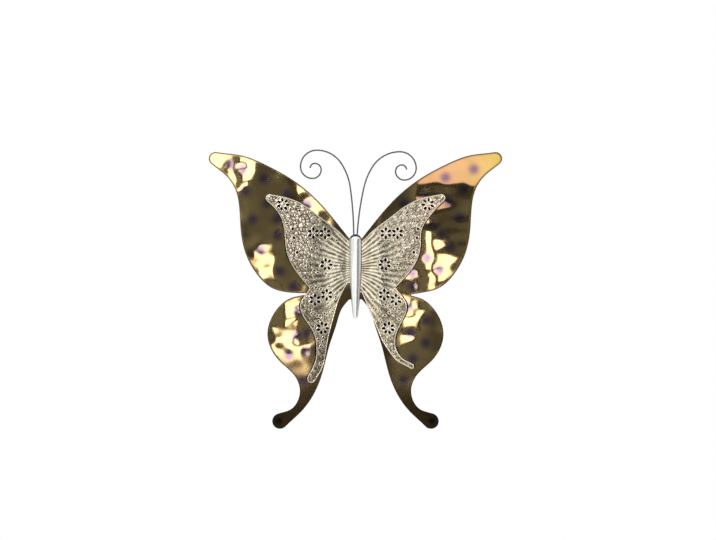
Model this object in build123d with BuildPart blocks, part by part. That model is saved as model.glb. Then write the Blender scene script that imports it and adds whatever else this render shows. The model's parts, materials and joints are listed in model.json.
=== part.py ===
"""Butterfly wall ornament: two hammered wings, two pierced filigree wings, a polished body,
two curled antennae, and the spine, rivets, screws and swinging ring that hold and hang them.

Millimetres. +X is the butterfly's right wing as seen from the front, +Z is up, and the front
faces -Y. The origin is the middle of the hanging ring's opening.
"""

import os
from math import acos, asin, atan2, cos, degrees, hypot, pi, radians, sin

from build123d import *

# Hanging ring and its strap
RING_WIRE = 2.0
RING_WIDTH = 14.0
RING_HEIGHT = 16.0
RING_CORNER = 2.5
STRAP_SHEET = 0.8
STRAP_WIDTH = 10.0
STRAP_TAIL = 7.0
FOLD_GAP = 0.1
BAR_CLEARANCE = 0.08

# Spine strip with its stepped foot
SPINE_SHEET = 1.6
SPINE_INSET = 1.1
SPINE_TOP = 7.0
SPINE_BOTTOM_MARGIN = 6.0
SPINE_CORNER = 2.5
FOOT_WIDTH = 6.0
FOOT_LENGTH = 13.0
FOOT_BEND = 3.0
FOOT_CORNER = 2.0
WALL_CLEARANCE = 1.2

# Outer wing sheet
OUTER_SHEET = 0.8
WING_RISE = 14.0
WING_BEND = 14.0
WING_CROWN = 1100.0
ROOT_GAP = 0.8
NOTCH_FILLET = 0.8

# Filigree sheet
FILIGREE_SHEET = 0.7
FILIGREE_EXTRA_RISE = 6.0
FILIGREE_BEND = 10.0
FILIGREE_CROWN = 500.0
FLANGE_MARGIN = 1.2
FLANGE_STEP = 2.5
PETAL_LENGTH = 4.8
PETAL_WIDTH = 3.3
PETAL_PITCH = 5.4
PETAL_TURN = 30.0
EDGE_HOLE_DIAMETER = 3.6

# Body
BODY_RADIUS = 8.1
BODY_DEPTH = 5.4
BODY_TIP_RADIUS = 3.2
HEAD_TOP = 20.0
BARREL_END = -8.0
BODY_BOTTOM = -86.0
BODY_WALL = 1.0
HOLLOW_TOP = 4.0
HOLLOW_BOTTOM = -62.0
BOSS_DIAMETER = 6.0

# Antennae
ANTENNA_WIRE = 1.9
ANTENNA_SPACING = 4.4
ANTENNA_FOOT = 6.0
ANTENNA_LEG = 13.0
RIGHT_STEM = ((25.0, 3.5), (358.0, 9.5), (80.0, 20.0), (40.5, 57.0))
LEFT_STEM = ((25.0, 0.5), (455.0, 7.5), (74.0, 25.0), (36.5, 57.0))
CURL_RADIUS = 20.5
CURL_RATIO = 0.73
CURL_QUARTERS = 5

# Fasteners
SCREW_DIAMETER = 3.0
SCREW_HEAD = 5.6
SCREW_HEAD_HEIGHT = 1.9
SCREW_HEAD_ROUND = 0.9
SCREW_CROSS_LENGTH = 3.0
SCREW_CROSS_WIDTH = 0.7
SCREW_CROSS_DEPTH = 0.9
UPPER_SCREW_LENGTH = 8.0
LOWER_SCREW_LENGTH = 6.0
UPPER_SCREW_DROP = 11.0
SCREW_PITCH = 28.0
RIVET_DIAMETER = 2.0
RIVET_HEAD = 3.4
RIVET_HEAD_HEIGHT = 1.0
RIVET_HEAD_ROUND = 0.8
RIVET_SINK = 0.7
RIVET_INSET = 0.9
RIVET_ROWS = (2.0, -34.0)
HOLE_CLEARANCE = 0.05
SCREW_CLEARANCE = 0.2
THREAD_SPARE = 0.5

# Cutting depth of every profile, and length of a wing's sheet before it is cut out
THROUGH = 300.0
SECTION_REACH = 200.0

# Outlines of the wings, in the front view (x, z), both drawn for the right side. The two sides are
# cut by hand: the left notch is deeper, and the left filigree hangs lower with its tail.
TIP_ARC = (100, -50)
OUTER_LEADING_EDGE = ((8.5, 15.5), (26, 37.5), (48, 62.5), (78.5, 87.5), (113, 106.5), (143, 117.5))
OUTER_TIP = (173.5, 113.0)
OUTER_TIP_RADIUS = 8.2
OUTER_TRAILING_EDGE = (
    (160.5, 92), (149.5, 76), (144.5, 55), (142.5, 25), (137, -3), (122, -31), (104, -47.4), (88, -52.4)
)
RIGHT_OUTER_NOTCH = (66.5, -56.0)
LEFT_OUTER_NOTCH = (55.0, -54.5)
HIND_OUTER_EDGE = (
    (84, -61.5), (96, -71.5), (109.5, -106), (95.5, -137.5), (76, -157), (69.5, -174), (73, -190),
    (80.5, -198.6)
)
TAIL_CENTRE = (94.0, -213.2)
TAIL_RADIUS = 9.6
OUTER_TAIL_ARC = (70, -135)
HIND_INNER_EDGE = ((67, -201), (43, -159), (32, -117.5), (23.5, -92), (16.5, -72.5))
OUTER_ROOT_TOP = 7.0
OUTER_ROOT_BOTTOM = (8.0, -62.0)

FILIGREE_LEADING_EDGE = ((8, 10.5), (21, 24), (41.5, 39.5), (60, 53.5), (82, 64))
FILIGREE_TIP = (106.5, 64.2)
FILIGREE_TIP_RADIUS = 4.8
FILIGREE_ROOT_TOP = 6.5
RIGHT_FILIGREE_EDGES = {
    "trailing": ((93.5, 43), (82.5, 25), (81, 4), (72, -21.5)),
    "notch": (50, -47),
    "hind_outer": ((64, -70), (59.5, -86), (50, -109), (50.5, -122.5), (59.4, -136)),
    "tail": (70, -145),
    "tail_radius": 3.0,
    "tail_arc": (54, -126),
    "hind_inner": ((52.5, -139), (42.5, -127.5), (33.5, -113.7), (26, -96), (18, -77.5)),
    "root_bottom": (8, -53),
}
LEFT_FILIGREE_EDGES = {
    "trailing": ((94, 43), (88.5, 25), (86, 0), (77.5, -21.5)),
    "notch": (57, -48),
    "hind_outer": ((69, -69), (65, -83), (53.5, -101), (49, -119), (49.5, -136), (54.5, -149)),
    "tail": (55, -160.5),
    "tail_radius": 5.2,
    "tail_arc": (25, -155),
    "hind_inner": ((43.5, -152), (38.5, -137.5), (35.6, -119), (31.5, -100), (26, -80), (20.5, -62)),
    "root_bottom": (10, -41),
}

# Piercing of the filigree: rosettes by centre x, centre z and ring radius, and single holes
ROSETTES = (
    (38, 21, 5.2),
    (52.5, 21, 5.2),
    (90, 56.5, 5.8),
    (36.5, -18, 5.6),
    (36, -56, 5.2),
    (50.5, -62, 5.2),
    (41, -97.5, 5.8),
)
EDGE_HOLES = ((78, 26), (76.5, 15), (72.5, -3))

# Depths: the ring hangs at y = 0, and every layer in front of it seats on the one behind
ring_bar_z = -(RING_HEIGHT + RING_WIRE) / 2
fold_radius = RING_WIRE / 2 + BAR_CLEARANCE + STRAP_SHEET / 2
spine_back = -(fold_radius + STRAP_SHEET / 2)
spine_front = spine_back - SPINE_SHEET
filigree_seat = spine_front - OUTER_SHEET
body_seat = filigree_seat - FILIGREE_SHEET
wall_plane = fold_radius + STRAP_SHEET / 2 + WALL_CLEARANCE
antenna_depth = body_seat - BODY_DEPTH / 2

# Fastener places
upper_screw_z = ring_bar_z - UPPER_SCREW_DROP
lower_screw_z = upper_screw_z - SCREW_PITCH
strap_back = spine_back + 2 * STRAP_SHEET + FOLD_GAP
rivet_x = BODY_RADIUS - BODY_WALL - RIVET_HEAD / 2 - RIVET_INSET
rivet_places = [(side * rivet_x, z) for side in (-1, 1) for z in RIVET_ROWS]
screw_places = [(0, upper_screw_z), (0, lower_screw_z)]
screw_hole = SCREW_DIAMETER / 2 + SCREW_CLEARANCE
rivet_hole = RIVET_DIAMETER / 2 + HOLE_CLEARANCE
spine_width = 2 * (BODY_RADIUS - SPINE_INSET)
outer_flange = BODY_RADIUS + FLANGE_MARGIN + FLANGE_STEP
filigree_flange = BODY_RADIUS + FLANGE_MARGIN
spine_shoulder = lower_screw_z - SPINE_BOTTOM_MARGIN
foot_bottom = spine_shoulder - (wall_plane - spine_back) - FOOT_LENGTH

# Long taper of the body: one arc, tangent to the barrel and to the rounded tip
tip_drop = BARREL_END - (BODY_BOTTOM + BODY_TIP_RADIUS)
radius_drop = BODY_RADIUS - BODY_TIP_RADIUS
taper_radius = (tip_drop**2 + BODY_RADIUS**2 - BODY_TIP_RADIUS**2) / (2 * radius_drop)
taper_angle = degrees(atan2(tip_drop, taper_radius - BODY_RADIUS))
body_axis = Axis((0, 0, 0), (0, 0, -1))
body_flattening = (1, BODY_DEPTH / BODY_RADIUS, 1)
SEATED = (Align.CENTER, Align.CENTER, Align.MIN)


def circle_point(centre, radius, angle):
    """Point of a circle at an angle in degrees, as plain coordinates."""
    return (centre[0] + radius * cos(radians(angle)), centre[1] + radius * sin(radians(angle)))


def clockwise(angle):
    """Direction of travel round a circle, clockwise, at an angle in degrees."""
    return (sin(radians(angle)), -cos(radians(angle)))


def heading(start, end):
    """Unit direction from one point to another."""
    length = hypot(end[0] - start[0], end[1] - start[1])
    return ((end[0] - start[0]) / length, (end[1] - start[1]) / length)


def edge_curve(points, start_heading=None, end_heading=None):
    """Smooth edge through the points, tangent to a round end where a heading is given."""
    first = start_heading or heading(points[0], points[1])
    last = end_heading or heading(points[-2], points[-1])
    Spline(*points, tangents=(first, last), tangent_scalars=(1, 1))


def wing_section(seat, sheet, flange, bend, rise, crown):
    """Plan section of a wing: flat flange, bend towards the front, then a long crowned sweep."""
    middle = seat - sheet / 2
    with BuildSketch(Plane.XY.offset(-THROUGH)) as section:
        with BuildLine():
            root = Line((0, middle), (flange, middle))
            turn = JernArc(root @ 1, root % 1, bend, -rise)
            JernArc(turn @ 1, turn % 1, crown, degrees(SECTION_REACH / crown))
        trace(line_width=sheet)
    return section.sketch


def wing_outline(leading, tip, tip_radius, trailing, notch, hind_outer, tail, tail_radius,
                 tail_arc, hind_inner, root_top, root_bottom):
    """Closed outline of one wing, clockwise from the root along the leading edge."""
    inner = ROOT_GAP / 2
    tip_from, tip_to = TIP_ARC
    tail_from, tail_to = tail_arc
    tip_first = circle_point(tip, tip_radius, tip_from)
    tip_last = circle_point(tip, tip_radius, tip_to)
    tail_first = circle_point(tail, tail_radius, tail_from)
    tail_last = circle_point(tail, tail_radius, tail_to)
    with BuildSketch(Plane.XZ) as outline:
        with BuildLine():
            Line((inner, root_top), leading[0])
            edge_curve((*leading, tip_first), end_heading=clockwise(tip_from))
            CenterArc(tip, tip_radius, tip_from, tip_to - tip_from)
            edge_curve((tip_last, *trailing, notch), start_heading=clockwise(tip_to))
            edge_curve((notch, *hind_outer, tail_first), end_heading=clockwise(tail_from))
            CenterArc(tail, tail_radius, tail_from, tail_to - tail_from)
            edge_curve((tail_last, *hind_inner, root_bottom), start_heading=clockwise(tail_to))
            Line(root_bottom, (inner, root_bottom[1]))
            Line((inner, root_bottom[1]), (inner, root_top))
        make_face()
        fillet(outline.vertices().sort_by_distance(notch)[0], NOTCH_FILLET)
    return outline.sketch


def fastener_holes():
    """Rivet holes and screw clearances, in the front view."""
    with BuildSketch(Plane.XZ) as holes:
        with Locations(*screw_places):
            Circle(screw_hole)
        with Locations(*rivet_places):
            Circle(rivet_hole)
    return holes.sketch


def outer_wing(notch):
    """Right-hand outer wing: sheet of the plan section, cut to the front outline."""
    with BuildPart() as wing:
        extrude(wing_section(spine_front, OUTER_SHEET, outer_flange, WING_BEND, WING_RISE, WING_CROWN),
                amount=2 * THROUGH)
        extrude(wing_outline(OUTER_LEADING_EDGE, OUTER_TIP, OUTER_TIP_RADIUS, OUTER_TRAILING_EDGE, notch,
                             HIND_OUTER_EDGE, TAIL_CENTRE, TAIL_RADIUS, OUTER_TAIL_ARC,
                             HIND_INNER_EDGE, OUTER_ROOT_TOP, OUTER_ROOT_BOTTOM),
                amount=THROUGH, both=True, mode=Mode.INTERSECT)
        extrude(fastener_holes(), amount=THROUGH, both=True, mode=Mode.SUBTRACT)
    return wing


def filigree_wing(edges):
    """Right-hand filigree wing: bent further forward than the outer one, and pierced with rosettes."""
    with BuildPart() as wing:
        extrude(wing_section(filigree_seat, FILIGREE_SHEET, filigree_flange, FILIGREE_BEND,
                             WING_RISE + FILIGREE_EXTRA_RISE, FILIGREE_CROWN),
                amount=2 * THROUGH)
        extrude(wing_outline(FILIGREE_LEADING_EDGE, FILIGREE_TIP, FILIGREE_TIP_RADIUS,
                             root_top=FILIGREE_ROOT_TOP, **edges),
                amount=THROUGH, both=True, mode=Mode.INTERSECT)
        extrude(fastener_holes(), amount=THROUGH, both=True, mode=Mode.SUBTRACT)
        with BuildSketch(Plane.XZ):
            for x, z, ring_radius in ROSETTES:
                petals = round(2 * pi * ring_radius / PETAL_PITCH)
                with Locations((x, z)):
                    with PolarLocations(ring_radius, petals, start_angle=PETAL_TURN):
                        Ellipse(PETAL_LENGTH / 2, PETAL_WIDTH / 2)
            with Locations(*EDGE_HOLES):
                Circle(EDGE_HOLE_DIAMETER / 2)
        extrude(amount=THROUGH, both=True, mode=Mode.SUBTRACT)
    return wing


def antenna(stem):
    """Right-hand antenna: a straight leg in the head, a stem that bends ever more, a flat curl."""
    leg_x = ANTENNA_SPACING / 2
    with BuildPart() as wire:
        with BuildLine(Plane.XZ.offset(-antenna_depth)) as path:
            step = Line((leg_x, ANTENNA_FOOT), (leg_x, ANTENNA_FOOT + ANTENNA_LEG))
            for radius, turn in stem:
                step = JernArc(step @ 1, step % 1, radius, -turn)
            for quarter in range(CURL_QUARTERS):
                step = JernArc(step @ 1, step % 1, CURL_RADIUS * CURL_RATIO**quarter, -90)
        with BuildSketch(Plane.XY.offset(ANTENNA_FOOT)):
            with Locations((leg_x, antenna_depth)):
                Circle(ANTENNA_WIRE / 2)
        sweep(path=path.wires()[0])
    return wire


# Wings and antennae: the left ones are drawn on the right and mirrored
right_outer_wing = outer_wing(RIGHT_OUTER_NOTCH)
right_filigree_wing = filigree_wing(RIGHT_FILIGREE_EDGES)
right_antenna = antenna(RIGHT_STEM)

left_outer_form = outer_wing(LEFT_OUTER_NOTCH)
with BuildPart() as left_outer_wing:
    mirror(left_outer_form.part, about=Plane.YZ)

left_filigree_form = filigree_wing(LEFT_FILIGREE_EDGES)
with BuildPart() as left_filigree_wing:
    mirror(left_filigree_form.part, about=Plane.YZ)

left_antenna_form = antenna(LEFT_STEM)
with BuildPart() as left_antenna:
    mirror(left_antenna_form.part, about=Plane.YZ)

# Body: half of a turned shape, flattened to its depth, hollow behind, with two screw bosses
with BuildPart() as turned_hollow:
    with BuildSketch(Plane.XZ):
        with BuildLine():
            wide = BODY_RADIUS - BODY_WALL
            top = Line((0, HOLLOW_TOP), (wide, HOLLOW_TOP))
            side = Line(top @ 1, (wide, BARREL_END))
            slope = degrees(asin((BARREL_END - HOLLOW_BOTTOM) / (taper_radius - BODY_WALL)))
            taper = JernArc(side @ 1, side % 1, taper_radius - BODY_WALL, -slope)
            floor = Line(taper @ 1, (0, (taper @ 1).Y))
            Line(floor @ 1, (0, HOLLOW_TOP))
        make_face()
    revolve(axis=body_axis, revolution_arc=180)

with BuildPart() as turned_body:
    with BuildSketch(Plane.XZ):
        with BuildLine():
            dome = JernArc((0, HEAD_TOP), (1, 0), BODY_RADIUS, -90)
            barrel = Line(dome @ 1, (BODY_RADIUS, BARREL_END))
            taper = JernArc(barrel @ 1, barrel % 1, taper_radius, -taper_angle)
            JernArc(taper @ 1, taper % 1, BODY_TIP_RADIUS, taper_angle - 90)
            Line((0, BODY_BOTTOM), (0, HEAD_TOP))
        make_face()
    revolve(axis=body_axis, revolution_arc=180)

with BuildPart() as body_hollow:
    with Locations((0, body_seat, 0)):
        add(scale(turned_hollow.part, by=body_flattening, mode=Mode.PRIVATE))
    with BuildSketch(Plane.XZ.offset(-body_seat)):
        with Locations(*screw_places):
            Circle(BOSS_DIAMETER / 2)
    extrude(amount=BODY_RADIUS, mode=Mode.SUBTRACT)

with BuildPart() as body:
    with Locations((0, body_seat, 0)):
        add(scale(turned_body.part, by=body_flattening, mode=Mode.PRIVATE))
    add(body_hollow.part, mode=Mode.SUBTRACT)
    with BuildSketch(Plane.XZ.offset(-body_seat)):
        with Locations((0, upper_screw_z)):
            Circle(SCREW_DIAMETER / 2 + HOLE_CLEARANCE)
    extrude(amount=body_seat - strap_back + UPPER_SCREW_LENGTH + THREAD_SPARE, mode=Mode.SUBTRACT)
    with BuildSketch(Plane.XZ.offset(-body_seat)):
        with Locations((0, lower_screw_z)):
            Circle(SCREW_DIAMETER / 2 + HOLE_CLEARANCE)
    extrude(amount=body_seat - spine_back + LOWER_SCREW_LENGTH + THREAD_SPARE, mode=Mode.SUBTRACT)
    with BuildSketch(Plane.XY.offset(ANTENNA_FOOT)):
        with Locations((-ANTENNA_SPACING / 2, antenna_depth), (ANTENNA_SPACING / 2, antenna_depth)):
            Circle(ANTENNA_WIRE / 2 + HOLE_CLEARANCE)
    extrude(amount=HEAD_TOP - ANTENNA_FOOT, mode=Mode.SUBTRACT)

# Spine: strip with its lower end stepped back to the wall
with BuildPart() as spine:
    with BuildSketch(Plane.YZ):
        with BuildLine():
            strip = spine_back - SPINE_SHEET / 2
            foot = wall_plane - SPINE_SHEET / 2
            FilletPolyline((strip, SPINE_TOP), (strip, spine_shoulder),
                           (foot, spine_shoulder - (foot - strip)), (foot, foot_bottom),
                           radius=FOOT_BEND)
        trace(line_width=SPINE_SHEET)
    extrude(amount=spine_width / 2, both=True)
    with BuildSketch(Plane.XZ):
        with Locations((0, (SPINE_TOP + spine_shoulder) / 2)):
            RectangleRounded(spine_width, SPINE_TOP - spine_shoulder, SPINE_CORNER)
        with Locations((0, (lower_screw_z + foot_bottom) / 2)):
            RectangleRounded(FOOT_WIDTH, lower_screw_z - foot_bottom, FOOT_CORNER)
    extrude(amount=THROUGH, both=True, mode=Mode.INTERSECT)
    extrude(fastener_holes(), amount=THROUGH, both=True, mode=Mode.SUBTRACT)
    with Locations(*[Location((x, spine_back, z), (-90, 0, 0)) for x, z in rivet_places]):
        CounterSinkHole(rivet_hole, rivet_hole + RIVET_SINK, SPINE_SHEET, counter_sink_angle=90)

# Rivets: flush behind the spine, domed in the hollow of the body
with BuildPart() as wing_rivets:
    with Locations(*[Location((x, spine_back, z), (90, 0, 0)) for x, z in rivet_places]):
        Cylinder(RIVET_DIAMETER / 2, spine_back - body_seat, align=SEATED)
        Cone(RIVET_DIAMETER / 2 + RIVET_SINK, RIVET_DIAMETER / 2, RIVET_SINK, align=SEATED)
    with Locations(*[Location((x, body_seat, z), (90, 0, 0)) for x, z in rivet_places]):
        Cylinder(RIVET_HEAD / 2, RIVET_HEAD_HEIGHT, align=SEATED)
    fillet(edges().group_by(Axis.Y)[0], RIVET_HEAD_ROUND)


def screw_circle(seat, diameter, z):
    """Round section of a screw on the plane of its seat."""
    with BuildSketch(Plane.XZ.offset(-seat)) as section:
        with Locations((0, z)):
            Circle(diameter / 2)
    return section.sketch


def screw_cross(seat, z):
    """Cross slot on the top of a screw head."""
    with BuildSketch(Plane.XZ.offset(-seat - SCREW_HEAD_HEIGHT)) as cross:
        with Locations((0, z)):
            Rectangle(SCREW_CROSS_LENGTH, SCREW_CROSS_WIDTH)
            Rectangle(SCREW_CROSS_WIDTH, SCREW_CROSS_LENGTH)
    return cross.sketch


def pan_head_screw(seat, length, z):
    """Screw along -Y with its rounded, cross-slotted head behind the seat."""
    extrude(screw_circle(seat, SCREW_DIAMETER, z), amount=length)
    head = extrude(screw_circle(seat, SCREW_HEAD, z), amount=-SCREW_HEAD_HEIGHT)
    fillet(head.edges().group_by(Axis.Y)[-1], SCREW_HEAD_ROUND)
    extrude(screw_cross(seat, z), amount=SCREW_CROSS_DEPTH, mode=Mode.SUBTRACT)


with BuildPart() as upper_body_screw:
    pan_head_screw(strap_back, UPPER_SCREW_LENGTH, upper_screw_z)

with BuildPart() as lower_body_screw:
    pan_head_screw(spine_back, LOWER_SCREW_LENGTH, lower_screw_z)

# Hanger strap: folded round the bar of the ring, its two legs clamped by the upper screw
with BuildPart() as hanger_strap:
    with BuildSketch(Plane.YZ):
        with BuildLine():
            strap_bottom = upper_screw_z - STRAP_TAIL
            step_back = fold_radius * 2 - STRAP_SHEET - FOLD_GAP
            swing = degrees(acos(1 - step_back / (2 * fold_radius)))
            front_leg = Line((-fold_radius, strap_bottom), (-fold_radius, ring_bar_z))
            fold = JernArc(front_leg @ 1, front_leg % 1, fold_radius, -180 - swing)
            easing = JernArc(fold @ 1, fold % 1, fold_radius, swing)
            Line(easing @ 1, ((easing @ 1).X, strap_bottom))
        trace(line_width=STRAP_SHEET)
    extrude(amount=STRAP_WIDTH / 2, both=True)
    with BuildSketch(Plane.XZ):
        with Locations((0, upper_screw_z)):
            Circle(screw_hole)
    extrude(amount=THROUGH, both=True, mode=Mode.SUBTRACT)

# Hanging ring: straight bar in the fold of the strap, round arch above
with BuildPart() as hang_ring:
    with BuildLine(Plane.XZ) as ring_path:
        half = (RING_WIDTH + RING_WIRE) / 2
        spring_line = -ring_bar_z - half
        bar = Line((0, ring_bar_z), (half - RING_CORNER, ring_bar_z))
        corner = JernArc(bar @ 1, bar % 1, RING_CORNER, 90)
        flank = Line(corner @ 1, (half, spring_line))
        arch = JernArc(flank @ 1, flank % 1, half, 180)
        flank_down = Line(arch @ 1, (-half, ring_bar_z + RING_CORNER))
        last_corner = JernArc(flank_down @ 1, flank_down % 1, RING_CORNER, 90)
        Line(last_corner @ 1, (0, ring_bar_z))
    with BuildSketch(Plane.YZ):
        with Locations((0, ring_bar_z)):
            Circle(RING_WIRE / 2)
    sweep(path=ring_path.wires()[0])

os.makedirs("parts", exist_ok=True)
pieces = {
    "left_outer_wing": left_outer_wing,
    "right_outer_wing": right_outer_wing,
    "left_filigree_wing": left_filigree_wing,
    "right_filigree_wing": right_filigree_wing,
    "body": body,
    "left_antenna": left_antenna,
    "right_antenna": right_antenna,
    "spine": spine,
    "wing_rivets": wing_rivets,
    "upper_body_screw": upper_body_screw,
    "lower_body_screw": lower_body_screw,
    "hanger_strap": hanger_strap,
    "hang_ring": hang_ring,
}
for name, piece in pieces.items():
    piece.part.label = name
    export_step(piece.part, f"parts/{name}.step")
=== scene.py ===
# %% [markdown]
# # A butterfly of hammered bronze and silver filigree
#
# The ornament hangs on a wall: two hammered bronze wings, two pierced silver wings standing in
# front of them, a polished body and two curled wire antennae. A steel spine, rivets, screws and a
# hanging ring are hidden behind the body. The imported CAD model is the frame: it says where every
# piece is. This lesson gives the pieces their finish, and replaces the plain wing sheets by
# hammered and embossed ones of the same outline.

import json
import math

import bpy
import numpy as np
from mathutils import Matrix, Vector, kdtree
from mathutils.geometry import delaunay_2d_cdt


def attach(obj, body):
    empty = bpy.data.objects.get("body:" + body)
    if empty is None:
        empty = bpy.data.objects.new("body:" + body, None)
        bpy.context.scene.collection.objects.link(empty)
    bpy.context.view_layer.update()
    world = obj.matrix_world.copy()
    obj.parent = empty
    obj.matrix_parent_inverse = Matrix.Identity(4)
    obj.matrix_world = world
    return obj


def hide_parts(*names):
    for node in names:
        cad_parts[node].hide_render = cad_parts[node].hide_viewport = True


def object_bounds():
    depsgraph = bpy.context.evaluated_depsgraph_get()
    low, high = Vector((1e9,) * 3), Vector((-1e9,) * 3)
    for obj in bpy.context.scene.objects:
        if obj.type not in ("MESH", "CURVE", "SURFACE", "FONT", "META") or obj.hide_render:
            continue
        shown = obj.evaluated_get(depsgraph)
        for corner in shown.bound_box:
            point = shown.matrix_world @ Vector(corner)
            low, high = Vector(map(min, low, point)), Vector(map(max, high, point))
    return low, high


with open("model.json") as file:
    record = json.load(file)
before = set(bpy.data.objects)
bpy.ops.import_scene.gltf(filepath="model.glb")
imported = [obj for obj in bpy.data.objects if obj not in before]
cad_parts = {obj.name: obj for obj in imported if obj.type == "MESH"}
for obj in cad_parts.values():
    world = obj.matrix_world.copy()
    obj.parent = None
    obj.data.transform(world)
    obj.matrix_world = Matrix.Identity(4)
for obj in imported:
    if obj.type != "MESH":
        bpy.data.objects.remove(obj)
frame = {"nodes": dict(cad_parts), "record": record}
cad_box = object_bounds()

# %% [markdown]
# ## Camera
#
# The photograph looks straight at the front. An orthographic camera would show that too, but a
# long lens far away is what a product photographer uses, and it keeps a trace of perspective. The
# scale and the pixel of the hanging point place the camera: the picture is 716 by 540 pixels, and
# one pixel covers 1.25 mm of the ornament.

# %% Camera
MM = 0.001
PHOTO_WIDTH, PHOTO_HEIGHT = 716, 540
MM_PER_PIXEL = 1.25
HANG_PIXEL_X, HANG_PIXEL_Y = 355.5, 250.0
LENS_MM, SENSOR_MM = 85.0, 36.0
# The scale holds at this depth, between the wings' roots and their tips
SCALE_PLANE_MM = -14.0

camera_data = bpy.data.cameras.new("photo_camera")
camera_data.lens = LENS_MM
camera_data.sensor_width = SENSOR_MM
camera = bpy.data.objects.new("photo_camera", camera_data)
bpy.context.collection.objects.link(camera)
bpy.context.scene.camera = camera
camera_distance = LENS_MM * PHOTO_WIDTH * MM_PER_PIXEL / SENSOR_MM
camera.location = (
    (PHOTO_WIDTH / 2 - HANG_PIXEL_X) * MM_PER_PIXEL * MM,
    (SCALE_PLANE_MM - camera_distance) * MM,
    (HANG_PIXEL_Y - PHOTO_HEIGHT / 2) * MM_PER_PIXEL * MM,
)
camera.rotation_euler = (math.pi / 2, 0, 0)
print("camera stands", round(camera_distance), "mm in front")

# %% [markdown]
# ## Colours
#
# Colours are written as sRGB hex values, as a colour picker shows them. The renderer works in
# linear light, so one function converts every colour of this lesson.

# %% Colours


def linear(hex_colour):
    """Linear RGBA of an sRGB hex colour."""
    channels = [int(hex_colour[i:i + 2], 16) / 255 for i in (1, 3, 5)]
    return [c / 12.92 if c <= 0.04045 else ((c + 0.055) / 1.055) ** 2.4 for c in channels] + [1.0]


print("a mid grey is", round(linear("#808080")[0], 3), "in linear light")

# %% [markdown]
# ## Nodes
#
# Every material below is a small graph of nodes. They could be wired by hand in the editor. In a
# script, one function adds any node, sets its values and makes its links, so that a material reads
# as a list of what it is made of. A socket is named in words, or by an underscore and its number
# where several sockets share a name.

# %% One function for every node


def add(tree, kind, settings=None, stops=(), **sockets):
    """Add a node, set its properties and colour stops, and fill or link its input sockets."""
    node = tree.nodes.new(kind)
    for name, value in (settings or {}).items():
        setattr(node, name, value)
    if stops:
        elements = node.color_ramp.elements
        while len(elements) < len(stops):
            elements.new(0.5)
        for element, (position, colour) in zip(elements, stops):
            element.position = position
            element.color = linear(colour)
    for name, value in sockets.items():
        socket = node.inputs[int(name[1:])] if name[0] == "_" else node.inputs[name.replace("_", " ")]
        if isinstance(value, bpy.types.NodeSocket):
            tree.links.new(value, socket)
        else:
            socket.default_value = value
    return node


def new_material(name):
    """Empty node material and its tree."""
    material = bpy.data.materials.new(name)
    material.use_nodes = True
    material.node_tree.nodes.clear()
    return material, material.node_tree


print("made", add.__name__, "and", new_material.__name__)

# %% [markdown]
# ## White studio
#
# The photograph has a plain white background. A backdrop sheet could give it, but it would have to
# be lit evenly. A white world does the same with no lamp at all, and the metal mirrors it too.

# %% World
world = bpy.data.worlds.new("white_studio")
bpy.context.scene.world = world
world.use_nodes = True
sky = world.node_tree
sky.nodes.clear()
background = add(sky, "ShaderNodeBackground", Color=linear("#ffffff"), Strength=1.0)
add(sky, "ShaderNodeOutputWorld", Surface=background.outputs[0])
bpy.context.scene.view_settings.view_transform = "Standard"
print("world", world.name, "at strength", background.inputs["Strength"].default_value)

# %% [markdown]
# ## Cards, and a black flag overhead
#
# Polished metal has hardly any tone of its own in a photograph: it shows what stands around it.
# Lamps could light the wings, but the bright patches in the photograph have edges, as windows and
# soft boxes have. So the studio is built of flat glowing cards. Only reflections see them: they are
# hidden from the camera, give no diffuse light and throw no shadow. The first one hangs overhead.
# What leans back, such as the top of the body's head, would mirror a white sky and melt into the
# background, and a black flag turns such edges dark.

# %% Cards that only reflections see
CEILING = 1.6
FLAG_LEFT, FLAG_RIGHT = -3.0, 3.0
FLAG_FRONT, FLAG_BACK = -0.9, 3.4
FLAG_GLOW = 0.04


def stage_card(name, corners, emission):
    """Flat card that only reflections see."""
    mesh = bpy.data.meshes.new(name)
    mesh.from_pydata(corners, [], [tuple(range(len(corners)))])
    panel = bpy.data.objects.new(name, mesh)
    bpy.context.collection.objects.link(panel)
    mesh.materials.append(emission)
    panel.visible_camera = False
    panel.visible_diffuse = False
    panel.visible_shadow = False


def glow_material(name, colour, glow):
    """Evenly lit cloth or card."""
    material, tree = new_material(name)
    light = add(tree, "ShaderNodeEmission", Color=linear(colour), Strength=glow)
    add(tree, "ShaderNodeOutputMaterial", Surface=light.outputs[0])
    return material


flag_corners = [(FLAG_LEFT, FLAG_FRONT), (FLAG_RIGHT, FLAG_FRONT), (FLAG_RIGHT, FLAG_BACK),
                (FLAG_LEFT, FLAG_BACK)]
stage_card("ceiling_flag", [(x, y, CEILING) for x, y in flag_corners],
           glow_material("deep_shadow", "#ffffff", FLAG_GLOW))
print("black flag hangs at", CEILING, "m")

# %% [markdown]
# ## Walls of the studio
#
# The photographer's side of the room is dim, so the wings that face it look dark. A wall of one
# grey would make the metal look painted. Large soft patches of light, from a noise texture, let
# every swell of the sheet show, from behind and from the sides as well.

# %% Walls of the studio
WALL_DISTANCE = 3.0
SIDE_DISTANCE = 4.4
SIDE_REACH = 2.8
ROOM_BOTTOM, ROOM_TOP = -3.0, 4.0
REAR_WALL = (-6.0, 6.0, ROOM_BOTTOM, ROOM_TOP)
# Noise mostly stays between these two values
USUAL_NOISE = (0.35, 0.65)
# Edges in metres, how far each wall is set back, patches per metre, darkest and lightest glow
FRONT_WALLS = {
    "dim_room": ((-1.45, 1.45, -0.8, 1.0), 0.06, 2.2, 0.11, 0.42),
    "shaded_side": ((1.5, 4.4, -1.6, 1.6), 0.0, 1.3, 0.05, 0.55),
    "bright_side": ((-4.4, -1.5, -1.6, 1.6), 0.0, 1.3, 0.45, 1.45),
}


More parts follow.
